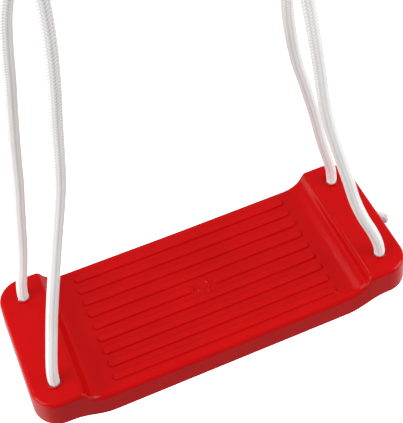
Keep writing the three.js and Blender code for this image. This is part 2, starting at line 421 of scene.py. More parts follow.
def settle(piece: bpy.types.Object, body: Body, slot: str, *nodes: str) -> bpy.types.Object:
    """Puts a piece on its body and hides the CAD nodes that it stands for.

    Args:
        piece: the finished piece.
        body: the body it rides on.
        slot: the record's material slot; not used.
        nodes: the CAD nodes that it replaces.

    Returns:
        The piece.
    """
    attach(piece, body.value)
    if nodes:
        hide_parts(*nodes)
    log.info("%s: %d faces", piece.name, len(piece.data.polygons))
    return piece


def shade(piece: bpy.types.Object, angle: float) -> None:
    """Shades a piece smooth, but keeps edges sharper than an angle crisp.

    Args:
        piece: the mesh object.
        angle: the angle between faces, in degrees.
    """
    piece.data.shade_smooth()
    piece.data.set_sharp_from_angle(angle=math.radians(angle))


def evaluated(piece: bpy.types.Object) -> bmesh.types.BMesh:
    """Takes a piece's shape with its modifiers applied, and clears them.

    Args:
        piece: the object.

    Returns:
        The shape as a bmesh.
    """
    bm = bmesh.new()
    bm.from_object(piece, bpy.context.evaluated_depsgraph_get())
    piece.modifiers.clear()
    return bm


def everything(bm: bmesh.types.BMesh) -> list:
    """Returns all of a bmesh's vertices, edges and faces."""
    return [*bm.verts, *bm.edges, *bm.faces]


def add_shape(bm: bmesh.types.BMesh, part: bmesh.types.BMesh) -> None:
    """Adds one bmesh to another.

    Args:
        bm: the shape that grows.
        part: the shape to add; it is freed.
    """
    carrier = bpy.data.meshes.new("carrier")
    part.to_mesh(carrier)
    part.free()
    bm.from_mesh(carrier)
    bpy.data.meshes.remove(carrier)


def spun_ring(section: bmesh.types.BMesh, centre: Vector, axis: Vector, steps: int) -> bmesh.types.BMesh:
    """Spins a closed section all the way round.

    Args:
        section: a closed loop of edges in a plane with the axis.
        centre: a point on the axis.
        axis: the axis' direction.
        steps: how many steps the turn takes.

    Returns:
        The same bmesh, now a closed ring.
    """
    geometry = [*section.verts, *section.edges]
    bmesh.ops.spin(
        section, geom=geometry, cent=centre, axis=axis, angle=2 * math.pi, steps=steps, use_merge=True
    )
    bmesh.ops.recalc_face_normals(section, faces=section.faces)
    return section


def loop_of(points: list[Vector]) -> bmesh.types.BMesh:
    """Joins a few points into a closed loop of edges, for a spin or an extrusion.

    Args:
        points: the corners in order.

    Returns:
        The loop.
    """
    bm = bmesh.new()
    corners = [bm.verts.new(p) for p in points]
    for a, b in zip(corners, corners[1:] + corners[:1]):
        bm.edges.new((a, b))
    return bm


# ------------------------------------------------------------------ routes and tubes


@dataclass
class Route:
    """A smooth line through given points, with a frame at each of its samples."""

    knots: list[tuple[float, float, float]]
    step: float = 0.8 * MM
    line: np.ndarray = field(init=False)
    along: np.ndarray = field(init=False)
    normal: np.ndarray = field(init=False)
    binormal: np.ndarray = field(init=False)

    def __post_init__(self) -> None:
        """Samples the curve evenly and carries a frame along it."""
        fine = self._curve(np.array(self.knots, float))
        reach = np.concatenate([[0], np.cumsum(np.linalg.norm(np.diff(fine, axis=0), axis=1))])
        count = max(2, round(reach[-1] / self.step))
        self.along = np.linspace(0, reach[-1], count + 1)
        self.line = np.stack([np.interp(self.along, reach, fine[:, k]) for k in range(3)], axis=1)
        self._carry_frame()

    @property
    def length(self) -> float:
        """The line's length."""
        return float(self.along[-1])

    @staticmethod
    def _curve(p: np.ndarray, per_span: int = 60) -> np.ndarray:
        """Runs a centripetal Catmull-Rom curve through points.

        Args:
            p: the points.
            per_span: samples between two of them.

        Returns:
            The samples.
        """
        p = np.vstack([2 * p[0] - p[1], p, 2 * p[-1] - p[-2]])
        samples = []
        for i in range(1, len(p) - 2):
            p0, p1, p2, p3 = p[i - 1 : i + 3]
            spans = ((p0, p1), (p1, p2), (p2, p3))
            t0, t1, t2 = (max(1e-6, np.linalg.norm(b - a) ** 0.5) for a, b in spans)
            m1 = ((p1 - p0) / t0 - (p2 - p0) / (t0 + t1) + (p2 - p1) / t1) * t1
            m2 = ((p2 - p1) / t1 - (p3 - p1) / (t1 + t2) + (p3 - p2) / t2) * t1
            t = np.linspace(0, 1, per_span, endpoint=False)[:, None]
            samples.append(
                (2 * t**3 - 3 * t**2 + 1) * p1 + (t**3 - 2 * t**2 + t) * m1
                + (3 * t**2 - 2 * t**3) * p2 + (t**3 - t**2) * m2
            )
        return np.vstack([*samples, p[-2][None]])

    def _carry_frame(self) -> None:
        """Carries a normal along the line without letting it twist."""
        tangent = np.gradient(self.line, axis=0)
        tangent /= np.linalg.norm(tangent, axis=1)[:, None]
        normals = [np.cross(tangent[0], np.cross((0.0, 1.0, 0.13), tangent[0]))]
        for t in tangent[1:]:
            n = normals[-1] - t * (normals[-1] @ t)
            normals.append(n / np.linalg.norm(n))
        self.normal = np.array(normals)
        self.normal[0] /= np.linalg.norm(self.normal[0])
        self.binormal = np.cross(tangent, self.normal)


@dataclass
class Tube:
    """A round cord along a route. Its surface is a grid wrapped round the line."""

    route: Route
    radius: float
    sides: int = 40
    melted_end: float = 0.0  # length of the melted tip at the route's end

    def relief(self, angle: np.ndarray, along: np.ndarray) -> np.ndarray:
        """Height of the surface against the plain radius: none on a plain cord.

        Args:
            angle: angle round the line.
            along: distance along it.

        Returns:
            The height in metres.
        """
        return np.zeros(np.broadcast(angle, along).shape)

    def shape(self) -> bmesh.types.BMesh:
        """Builds the closed tube, with a "rope" UV map in metres and its "stitch" and "melted" values.

        Returns:
            The shape.
        """
        rings, sides = len(self.route.line), self.sides
        bm = bmesh.new()
        bmesh.ops.create_grid(bm, x_segments=sides, y_segments=rings - 1, size=0.5)
        mesh = bpy.data.meshes.new("tube")
        bm.to_mesh(mesh)
        bm.free()
        flat = np.zeros(len(mesh.vertices) * 3, np.float32)
        mesh.vertices.foreach_get("co", flat)
        flat = flat.reshape(-1, 3)
        column = np.rint((flat[:, 0] + 0.5) * sides).astype(int)
        row = np.rint((flat[:, 1] + 0.5) * (rings - 1)).astype(int)
        angle = 2 * math.pi * (column % sides) / sides
        along = self.route.along[row]
        height = self.relief(angle, along)
        tip = np.clip(1 - (self.route.length - along) / max(self.melted_end, 1e-9), 0, 1)
        tip = tip if self.melted_end else np.zeros_like(tip)
        radius = (self.radius + height * (1 - tip)) * np.sqrt(1 - 0.8 * tip**3)
        normal, binormal = self.route.normal[row], self.route.binormal[row]
        outward = normal * np.cos(angle)[:, None] + binormal * np.sin(angle)[:, None]
        places = self.route.line[row] + outward * radius[:, None]
        mesh.vertices.foreach_set("co", places.astype(np.float32).ravel())
        spread = np.ptp(height) or 1.0
        # stitch: the braid's height, which the rope's finish turns into painted shade in the grooves
        values = {"stitch": (height - height.min()) / spread, "melted": tip}
        for name, value in values.items():
            attribute = mesh.attributes.new(name, "FLOAT", "POINT")
            attribute.data.foreach_set("value", value.astype(np.float32))
        corners = np.zeros(len(mesh.loops), np.int32)
        mesh.loops.foreach_get("vertex_index", corners)
        around = 2 * math.pi * self.radius * column / sides
        uv = np.stack([around[corners], along[corners]], axis=1)
        layer = mesh.uv_layers.new(name="rope")
        layer.data.foreach_set("uv", uv.astype(np.float32).ravel())
        bm = bmesh.new()
        bm.from_mesh(mesh)
        bpy.data.meshes.remove(mesh)
        bmesh.ops.remove_doubles(bm, verts=bm.verts, dist=1e-6)
        bmesh.ops.holes_fill(bm, edges=[e for e in bm.edges if e.is_boundary], sides=0)
        bmesh.ops.recalc_face_normals(bm, faces=bm.faces)
        return bm


@dataclass
class BraidedTube(Tube):
    """A braided rope: columns of slanting stitches that mirror each other, so that neighbours make a V."""

    columns: int = 10
    stitch: float = 3.2 * MM
    slant: float = 0.42  # how far a stitch leans from its column's middle to its side, in stitches
    groove: float = 0.24 * MM  # depth between two columns
    flatness: float = 2.6
    step_depth: float = 0.42 * MM  # depth between two stitches of a column
    fullness: float = 0.8

    def relief(self, angle: np.ndarray, along: np.ndarray) -> np.ndarray:
        """Height of the braid against the plain radius.

        Args:
            angle: angle round the line.
            along: distance along it.

        Returns:
            The height in metres, 0 or less.
        """
        place = angle / (2 * math.pi) * self.columns
        column = np.floor(place)
        across = 2 * (place - column) - 1
        lean = np.where(column % 2 == 0, across, -across)
        phase = along / self.stitch + self.slant * lean + 0.5 * (column % 2)
        crown = np.abs(np.sin(math.pi * phase)) ** self.fullness
        return -self.groove * np.abs(across) ** self.flatness - self.step_depth * (1 - crown)


@dataclass
class TwineTube(Tube):
    """A thin twisted twine, whose three plies stand out a little."""

    plies: int = 3
    lay: float = 9.0 * MM  # length of one full turn of a ply
    swell: float = 0.06  # how far a ply stands out, in radii

    def relief(self, angle: np.ndarray, along: np.ndarray) -> np.ndarray:
        """Height of the plies against the plain radius.

        Args:
            angle: angle round the line.
            along: distance along it.

        Returns:
            The height in metres.
        """
        turns = 2 * math.pi * along / self.lay
        return self.swell * self.radius * np.cos(self.plies * (angle + turns))


# ------------------------------------------------------------------ the seat


@dataclass
class SeatShell:
    """The moulded seat: a thin shell with a rounded skirt, raised end pads, grip ridges and four holes."""

    finish: Finish
    half_length: float = 206.3 * MM
    half_width: float = 80 * MM
    corner_radius: float = 26 * MM
    corner_steps: int = 14
    edge_radius: float = 6 * MM
    edge_steps: int = 7
    wall: float = 3 * MM
    draft: float = 2.5 * MM
    sag: float = 1 * MM
    pad_height: float = 20.4 * MM
    slope_foot: float = 133 * MM
    slope_radius: float = 24 * MM
    slope_steps: int = 14
    pad_edge: float = 6 * MM
    pad_edge_steps: int = 5
    pad_stations: tuple = (165 * MM, 172 * MM, 176 * MM, 180 * MM)
    deck_station: float = 60 * MM
    skirt_depth: float = 28 * MM
    skirt_rise: float = 14 * MM
    rise_from: float = 128 * MM
    rise_to: float = 180 * MM
    ridge_count: int = 9
    ridge_pitch: float = 15.9 * MM
    ridge_half: float = 125 * MM
    ridge_width: float = 9 * MM
    middle_gap: float = 11 * MM
    badge_radius: float = 6.5 * MM
    badge_wire: float = 1.2 * MM
    badge_height: float = 0.9  # of a full half round
    panel: float = 127.5 * MM
    hole_x: float = 180 * MM
    hole_y: float = 53.8 * MM
    bore: float = 12.7 * MM
    lip: float = 16.3 * MM
    lip_height: float = 1.1 * MM
    bead_height: float = 1.6 * MM
    bead_corners: int = 12
    boss: float = 20 * MM
    boss_depth: float = 4 * MM
    boss_edge: float = 0.6 * MM
    boss_root: float = 1.5 * MM  # how far below the pad's top it ends, inside the wall
    collar_steps: int = 64
    bore_sides: int = 48
    crease: float = 40.0  # in degrees
    rib: float = 2.4 * MM
    rib_depth: float = 17 * MM
    rib_edge: float = 0.7 * MM
    rib_root: float = 1.6 * MM  # how far below the deck's top it ends, inside the wall
    end_rib_depth: float = 7 * MM
    long_rib_y: float = 26.5 * MM
    cross_rib_pitch: float = 46 * MM
    cross_rib_reach: int = 3  # cross ribs on each side of the middle one
    # how high a ridge stands at each distance in from its edge, in millimetres
    ridge_profile: tuple = (
        (-0.5, 0.0), (-0.15, 0.05), (0.1, 0.32), (0.3, 1.0), (0.5, 1.5), (0.8, 1.95), (1.15, 2.22),
        (1.6, 2.37), (4.5, 2.45),
    )

    @property
    def deck(self) -> float:
        """The deck's height in the row frame."""
        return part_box("seat")[1].z - self.pad_height - self.lip_height

    @property
    def slope_run(self) -> float:
        """Distance along the seat from a slope's foot to its flat pad."""
        arc, edge = self.slope_radius, self.pad_edge
        return math.sqrt((arc + edge) ** 2 - (arc - self.pad_height + edge) ** 2)

    @property
    def slope_turn(self) -> float:
        """Distance along the seat from a slope's foot to where its hollow meets the pad's round edge."""
        return self.slope_run * self.slope_radius / (self.slope_radius + self.pad_edge)

    @property
    def ridge_reach(self) -> int:
        """How many ridges lie on each side of the middle one."""
        return (self.ridge_count - 1) // 2

    def height(self, x: float) -> float:
        """Height of the upper surface over the deck's ends.

        Args:
            x: place along the seat.

        Returns:
            The height in metres.
        """
        along = abs(x) - self.slope_foot
        if along <= 0:
            return self.sag * along / self.slope_foot
        arc, edge, pad = self.slope_radius, self.pad_edge, self.pad_height
        if along >= self.slope_run:
            return pad
        if along > self.slope_turn:
            return pad - edge + math.sqrt(edge**2 - (along - self.slope_run) ** 2)
        return arc - math.sqrt(arc**2 - along**2)

    def skirt_height(self, x: float) -> float:
        """Height of the skirt's lower edge over the deck's ends.

        Args:
            x: place along the seat.

        Returns:
            The height in metres.
        """
        t = min(1.0, max(0.0, (abs(x) - self.rise_from) / (self.rise_to - self.rise_from)))
        return -self.skirt_depth + self.skirt_rise * t**3 * (t * (6 * t - 15) + 10)

    def outward(self, co: Vector) -> Vector:
        """Finds the outline's outward direction beside a point, seen from above.

        Args:
            co: the point.

        Returns:
            The direction, level.
        """
        cx, cy = self.half_length - self.corner_radius, self.half_width - self.corner_radius
        core = Vector((max(-cx, min(cx, co.x)), max(-cy, min(cy, co.y)), 0))
        return (Vector((co.x, co.y, 0)) - core).normalized()

    def ridge_height(self, x: float, y: float) -> float:
        """How high the grip ridges and the small ring stand at a point of the deck.

        Args:
            x: place along the seat.
            y: place across it.

        Returns:
            The height in metres.
        """
        row = max(-self.ridge_reach, min(self.ridge_reach, round(y / self.ridge_pitch)))
        half = self.ridge_width / 2
        far = self.ridge_half - half
        near, place = (self.middle_gap + half, abs(x)) if row == 0 else (-far, x)
        beside = Vector((place - max(near, min(far, place)), y - row * self.ridge_pitch)).length
        inside = (half - beside) / MM
        ts, hs = zip(*self.ridge_profile)
        ridge = float(np.interp(inside, ts, hs)) * MM
        off = abs(math.hypot(x, y) - self.badge_radius)
        ring = self.badge_height * math.sqrt(max(0.0, self.badge_wire**2 - off**2))
        return max(ridge, ring)

    def lid(self) -> bmesh.types.BMesh:
        """Shapes the outer skin: a rounded lid, open below, bent to the deck, the slopes and the pads.

        Returns:
            The open skin.
        """
        bm = bmesh.new()
        bmesh.ops.create_cube(bm, size=1.0)
        tall = 2 * self.edge_radius
        bmesh.ops.scale(bm, vec=(2 * self.half_length, 2 * self.half_width, tall), verts=bm.verts)
        bmesh.ops.translate(bm, vec=(0, 0, -tall / 2), verts=bm.verts)
        bmesh.ops.delete(bm, geom=[f for f in bm.faces if f.normal.z < -0.5], context="FACES")
        upright = [e for e in bm.edges if abs(e.verts[0].co.z - e.verts[1].co.z) > tall / 2]
        self.bevel(bm, upright, self.corner_radius, self.corner_steps)
        rim = [e for e in bm.edges if all(abs(v.co.z) < 1e-6 for v in e.verts)]
        self.bevel(bm, rim, self.edge_radius, self.edge_steps)
        for x in self.stations():
            bmesh.ops.bisect_plane(
                bm, geom=everything(bm), plane_co=(x, 0, 0), plane_no=(1, 0, 0), dist=1e-7
            )
        for v in bm.verts:
            if v.co.z < -tall + 1e-6:
                v.co += self.outward(v.co) * self.draft
                v.co.z = self.skirt_height(v.co.x)
            else:
                v.co.z += self.height(v.co.x)
        bmesh.ops.recalc_face_normals(bm, faces=bm.faces)
        return bm

    @staticmethod
    def bevel(bm: bmesh.types.BMesh, edges: list, width: float, segments: int) -> None:
        """Rounds some edges.

        Args:
            bm: the shape.
            edges: the edges.
            width: how far the round reaches.
            segments: how many faces it has.
        """
        bmesh.ops.bevel(
            bm, geom=edges, offset=width, offset_type="OFFSET", segments=segments, profile=0.5,
            affect="EDGES", material=-1, clamp_overlap=True,
        )

    def stations(self) -> list[float]:
        """Lists the places along the seat where the skin bends, for both ends.

        Returns:
            The places in metres.
        """
        arc, foot, run, turn = self.slope_radius, self.slope_foot, self.slope_run, self.slope_turn
        last = math.asin(turn / arc)
        hollow = [foot + arc * math.sin(last * i / self.slope_steps) for i in range(self.slope_steps + 1)]
        parts = [i / self.pad_edge_steps for i in range(1, self.pad_edge_steps + 1)]
        crest = [foot + run - (run - turn) * (1 - part) ** 2 for part in parts]
        one_end = [*hollow, *crest, self.panel, *self.pad_stations, self.deck_station]
        return [0.0, *one_end, *(-x for x in one_end)]

    def ridge_lines(self) -> tuple[list[float], list[float]]:
        """Lists where the deck's skin is cut for the ridges and the small ring.

        Returns:
            The places along the deck, and the places across it.
        """
        half = self.ridge_width / 2
        flanks = [half - t * MM for t, _ in self.ridge_profile[:-1]]
        crowns = [0, 0.8 * MM, 1.6 * MM, 2.3 * MM]
        across = sorted({round(s * d, 6) for s in (-1, 1) for d in [*flanks, *crowns]})
        rows = range(-self.ridge_reach, self.ridge_reach + 1)
        ys = [row * self.ridge_pitch + d for row in rows for d in across]
        # from 0.5 mm outside each ridge's end to well past its rounding
        outer_ends = [self.ridge_half + (0.5 - 0.4 * i) * MM for i in range(15)]
        inner_ends = [self.middle_gap - (0.5 - 0.45 * i) * MM for i in range(13)]
        badge = [0.5 * MM * i for i in range(1, 20)]
        xs = [s * x for s in (-1, 1) for x in [*outer_ends, *inner_ends, *badge]]
        return xs, ys

    def cut_holes(self, bm: bmesh.types.BMesh) -> bmesh.types.BMesh:
        """Cuts the four bores through the pads.

        Args:
            bm: the closed shell; it is freed.

        Returns:
            The shell with its holes.
        """
        shell = make_object("blank", bm, self.finish)
        tool = bmesh.new()
        for x, y in self.holes():
            bmesh.ops.create_cone(
                tool, cap_ends=True, segments=self.bore_sides, radius1=self.bore / 2, radius2=self.bore / 2,
                depth=20 * MM, matrix=Matrix.Translation((x, y, self.pad_height)),
            )
        cutter = make_object("cutter", tool, self.finish)
        cut = shell.modifiers.new("holes", "BOOLEAN")
        cut.object, cut.operation, cut.solver = cutter, "DIFFERENCE", "EXACT"
        bm = evaluated(shell)
        bpy.data.objects.remove(shell)
        bpy.data.objects.remove(cutter)
        return bm

    def holes(self) -> list[tuple[float, float]]:
        """Returns the four holes' places."""
        return [(sx * self.hole_x, sy * self.hole_y) for sx in (-1, 1) for sy in (-1, 1)]

    def raise_ridges(self, bm: bmesh.types.BMesh) -> None:
        """Cuts the deck finely and lifts the ridges and the small ring out of it.

        Args:
            bm: the shell.
        """
        mark = bm.faces.layers.int.new("deck")
        for f in bm.faces:
            middle = f.calc_center_median()
            level = f.normal.z > 0.99 and middle.z > -self.wall / 2  # the upper skin alone
            f[mark] = int(abs(middle.x) < self.panel and level)
        xs, ys = self.ridge_lines()
        cuts = [((x, 0, 0), (1, 0, 0)) for x in xs] + [((0, y, 0), (0, 1, 0)) for y in ys]
        for place, direction in cuts:
            faces = [f for f in bm.faces if f[mark]]
            edges = {e for f in faces for e in f.edges}
            verts = {v for e in edges for v in e.verts}
            bmesh.ops.bisect_plane(
                bm, geom=[*verts, *edges, *faces], plane_co=place, plane_no=direction, dist=1e-6
            )
        top = {v for f in bm.faces if f[mark] for v in f.verts}
        for v in top:
            v.co.z += self.ridge_height(v.co.x, v.co.y)

    def collars(self) -> bmesh.types.BMesh:
        """Makes the rounded lip on top of each hole and the boss under it.

        Returns:
            Eight closed rings.
        """
        rings = bmesh.new()
        middle = (self.bore + self.lip) / 4
        half = (self.lip - self.bore) / 4
        inner, outer, soft = self.bore / 2, self.boss / 2, self.boss_edge
        low, high = self.pad_height - self.boss_depth, self.pad_height - self.boss_root
        turns = [2 * math.pi * i / self.bead_corners for i in range(self.bead_corners)]
        bead = [
            (middle + half * math.cos(a), 0, self.pad_height + self.bead_height * math.sin(a)) for a in turns
        ]
        boss = [(inner, 0, high), (inner, 0, low), (outer - soft, 0, low), (outer, 0, low + soft),
                (outer, 0, high)]
        for x, y in self.holes():
            centre = Vector((x, y, 0))
            for outline in (bead, boss):
                section = loop_of([centre + Vector(p) for p in outline])
                add_shape(rings, spun_ring(section, centre, Vector((0, 0, 1)), self.collar_steps))
        return rings

    def ribs(self) -> bmesh.types.BMesh:
        """Makes the stiffening ribs under the deck, which run into the walls.

        Returns:
            The ribs, each a closed, slightly tapered bar.
        """
        bars = bmesh.new()
        inner = self.half_width - self.wall + 1 * MM  # 1 mm into the wall
        last = self.cross_rib_reach * self.cross_rib_pitch
        rows: list[tuple[tuple, tuple, float]] = []
        for y in (-self.long_rib_y, self.long_rib_y):
            rows += [((0, y), (s * last, y), -self.rib_depth) for s in (-1, 1)]
        for row in range(-self.cross_rib_reach, self.cross_rib_reach + 1):
            x = row * self.cross_rib_pitch
            at_end = abs(row) == self.cross_rib_reach
            rows.append(((x, -inner), (x, inner), -self.end_rib_depth if at_end else -self.rib_depth))
        for (x0, y0), (x1, y1), low in rows:
            size = Vector((abs(x1 - x0) or self.rib, abs(y1 - y0) or self.rib, 1.0))
            bar = bmesh.new()
            bmesh.ops.create_cube(bar, size=1.0)
            bmesh.ops.scale(bar, vec=size, verts=bar.verts)
            bmesh.ops.translate(bar, vec=((x0 + x1) / 2, (y0 + y1) / 2, 0), verts=bar.verts)
            for v in bar.verts:
                v.co.z = low if v.co.z < 0 else self.height(v.co.x) - self.rib_root
            lower = [e for e in bar.edges if all(abs(v.co.z - low) < 1e-7 for v in e.verts)]
            self.bevel(bar, lower, self.rib_edge, 2)
            add_shape(bars, bar)
        return bars

    def build(self) -> bpy.types.Object:
        """Builds the seat and puts it in place.

        Returns:
            The seat.
        """
        bm = self.lid()
        bmesh.ops.solidify(bm, geom=bm.faces[:], thickness=self.wall)
        bmesh.ops.recalc_face_normals(bm, faces=bm.faces)
        bm = self.cut_holes(bm)
        self.raise_ridges(bm)
        add_shape(bm, self.collars())
        add_shape(bm, self.ribs())
        bmesh.ops.translate(bm, vec=(0, 0, self.deck), verts=bm.verts)
        piece = make_object("moulded_seat", bm, self.finish)
        shade(piece, self.crease)
        weigh = piece.modifiers.new("flat_faces_stay_flat", "WEIGHTED_NORMAL")
        weigh.keep_sharp, weigh.mode, weigh.weight = True, "FACE_AREA", 50
        return settle(piece, Body.SEAT, "red_plastic", "seat")


# ------------------------------------------------------------------ ropes, knots and fittings


@dataclass
class Suspension:
    """One side's rope with its two stopper knots, its thimble, its seizing and its ring."""

    side: Side
    seat: SeatShell
    rope_finish: Finish
    twine_finish: Finish
    steel_finish: Finish
    rope: float = 11.5 * MM
    top_x: float = 92 * MM
    crown_height: float = 562 * MM  # middle of the bight's round, above the deck
    crown_rope: float = 25.05 * MM  # radius of the rope's line there
    tangent: float = math.radians(23.037)
    leg_spread: float = 6.05 * MM
    seizing_bottom: float = 488 * MM
    seizing_length: float = 24 * MM
    twine: float = 2.0 * MM
    twine_pitch: float = 1.02  # from one turn to the next, in diameters
    knot_top: float = 19.0 * MM  # from a knot's middle up to its top
    melted_tip: float = 2.2 * MM
    thimble_wall: float = 1.4 * MM
    weld_width: float = 1.6 * MM
    weld_swell: float = 0.09  # how much thicker the wire is at the weld
    wire_sides: int = 20
    ring_steps: int = 96
    gutter_steps: int = 40
    round_crease: float = 75.0  # in degrees, for the ropes, the twine and the rings
    gutter_crease: float = 50.0

    # Each leg from its hole to the seizing, in millimetres: x, y and the height above the deck.
    LEGS = {
        (Side.LEFT, End.FRONT): (
            (-180, -53.8, 16.2), (-180, -53.8, 20), (-180, -53.8, 25), (-177.8, -52, 42),
            (-164, -39.5, 93), (-156, -35, 123), (-137, -25, 188), (-119, -18, 253),
            (-113, -16, 286), (-108, -14, 318), (-101, -12.5, 362), (-96, -10.5, 405),
            (-93.5, -8, 447),
        ),
        (Side.LEFT, End.BACK): (
            (-180, 53.8, 16.2), (-180, 53.8, 20), (-180, 53.8, 25), (-177.3, 54.8, 42),
            (-170.5, 57.3, 66), (-164, 59.5, 93), (-152.5, 60, 156), (-147, 58, 188),
            (-142.5, 55.5, 221), (-133.5, 47.5, 286), (-129, 42, 318), (-117, 27, 403),
            (-104, 17, 447),
        ),
        (Side.RIGHT, End.FRONT): (
            (180, -53.8, 16.2), (180, -53.8, 20), (179.8, -53.8, 25), (175.8, -53.8, 42),
            (167.2, -53.2, 66), (155.8, -52, 93), (145.6, -50, 123), (137, -48.5, 156),
            (112, -43, 253), (103, -39, 318), (98, -34, 358), (93.5, -25.5, 400), (92, -14.5, 445),
        ),
        (Side.RIGHT, End.BACK): (
            (180, 53.8, 16.2), (180, 53.8, 20), (180, 53.8, 25), (177.6, 53, 42), (171, 49.7, 66),
            (163, 46.5, 93), (155, 44, 123), (147, 41, 156), (128.5, 33, 221), (119, 29, 253),
            (105, 19, 318), (97, 10.5, 402), (94, 8, 446),
        ),
    }

    # An overhand knot drawn tight, in millimetres about its middle: down its axis, round, through, out.
    OVERHAND = (
        (0.0, 0.0, 21.0), (0.2, 0.1, 14.6), (0.2, -0.2, 9.9), (-1.0, -2.0, 5.8), (-3.3, -5.0, 3.0),
        (-6.8, -5.8, 0.0), (-9.8, -4.7, -3.5), (-11.5, -2.1, -7.0), (-11.5, 1.4, -10.2),
        (-9.8, 5.2, -12.4), (-6.7, 8.6, -13.4), (-2.5, 10.8, -13.3), (2.0, 11.4, -12.0),
        (6.0, 10.5, -9.7), (8.9, 8.1, -6.8), (10.1, 4.7, -3.7), (10.2, 1.0, -0.8), (10.2, -2.8, 2.2),
        (9.8, -6.5, 5.1), (7.7, -9.5, 8.2), (4.2, -11.2, 10.9), (-0.2, -11.3, 12.8),
        (-4.6, -10.0, 13.5), (-8.4, -7.1, 13.1), (-10.9, -3.4, 11.5), (-11.8, 0.4, 8.8),
        (-11.0, 3.5, 5.3), (-8.6, 5.5, 1.8), (-5.1, 5.7, -1.5), (-1.8, 3.8, -4.3), (-0.3, 1.0, -7.7),
        (0.0, -1.2, -11.4), (0.2, -4.4, -14.6), (0.3, -9.0, -17.0), (0.3, -15.0, -18.4),
        (0.2, -24.0, -18.9),
    )

    # Where each knot's tail points, in degrees from +X, and how far it reaches, in millimetres.
    TAILS = {
        (Side.LEFT, End.FRONT): (25.0, 44.0),
        (Side.LEFT, End.BACK): (-30.0, 48.0),
        (Side.RIGHT, End.FRONT): (160.0, 45.0),
        (Side.RIGHT, End.BACK): (-43.5, 69.5),
    }

    # The thimble's gutter, in millimetres: across it, and out from the crown's middle. The outside of
    # the U comes first, and then its inside on the way back.
    GUTTER = (
        (-6.5, 21.6), (-5.9, 19.6), (-4.2, 18.2), (0, 17.6), (4.2, 18.2), (5.9, 19.6), (6.5, 21.6),
        (5.2, 21.9), (4.8, 20.3), (3.3, 19.25), (0, 19.0), (-3.3, 19.25), (-4.8, 20.3), (-5.2, 21.9),
    )

    # Where each ring's weld is, in degrees from +X.
    WELDS = {Side.LEFT: 200, Side.RIGHT: -35}

    def raised(self, points: tuple) -> list[tuple[float, float, float]]:
        """Returns points given in millimetres above the deck as points in the row frame."""
        return [(x * MM, y * MM, z * MM + self.seat.deck) for x, y, z in points]

    def bight(self) -> list[tuple[float, float, float]]:
        """Lists the rope's points through the seizing, round the thimble and back down.

        Returns:
            The points, from the front leg to the back one.
        """
        x, low = self.side.value * self.top_x, self.seat.deck + self.seizing_bottom
        crown = self.seat.deck + self.crown_height
        rise = [(x, -self.leg_spread, low + up) for up in (-9 * MM, 3 * MM, self.seizing_length)]
        start, sweep = math.pi + self.tangent, math.pi + 2 * self.tangent
        turn = [start - sweep * i / 6 for i in range(7)]
        arc = [(x, self.crown_rope * math.cos(a), crown + self.crown_rope * math.sin(a)) for a in turn]
        fall = [(px, -py, pz) for px, py, pz in reversed(rise)]
        return [*rise, *arc, *fall]

    def build_rope(self) -> tuple[bpy.types.Object, Route]:
        """Builds the rope from the front hole up over the thimble and down to the back hole.

        Returns:
            The rope and its route.
        """
        front = self.raised(self.LEGS[self.side, End.FRONT])
        back = self.raised(self.LEGS[self.side, End.BACK])[::-1]
        route = Route([*front, *self.bight(), *back])
        tube = BraidedTube(route, self.rope / 2)
        piece = make_object(f"braided_rope_{self.side.word}", tube.shape(), self.rope_finish)
        shade(piece, self.round_crease)
        return settle(piece, Body.SEAT, "braided_rope", f"rope_{self.side.word}"), route

    def build_knot(self, end: End) -> bpy.types.Object:
        """Builds the overhand knot under one hole, with its melted tail.

        Args:
            end: the front or the back hole.

        Returns:
            The knot.
        """
        heading, reach = self.TAILS[self.side, end]
        name = f"{self.side.word}_{end.word}"
        middle = Vector((
            self.side.value * self.seat.hole_x,
            end.value * self.seat.hole_y,
            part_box(f"knot_{name}")[1].z - self.knot_top,
        ))
        turn = Matrix.Translation(middle) @ Matrix.Rotation(math.radians(heading + 90), 4, "Z")
        _, out, down = self.OVERHAND[-1]
        points = [*self.OVERHAND, (0.0, (out - reach) / 2 - 2, down - 0.1), (0.0, -reach, down)]
        route = Route([tuple(turn @ (Vector(p) * MM)) for p in points])
        tube = BraidedTube(route, self.rope / 2, melted_end=self.melted_tip)
        piece = make_object(f"stopper_knot_{name}", tube.shape(), self.rope_finish)
        shade(piece, self.round_crease)
        return settle(piece, Body.SEAT, "braided_rope", f"knot_{name}")

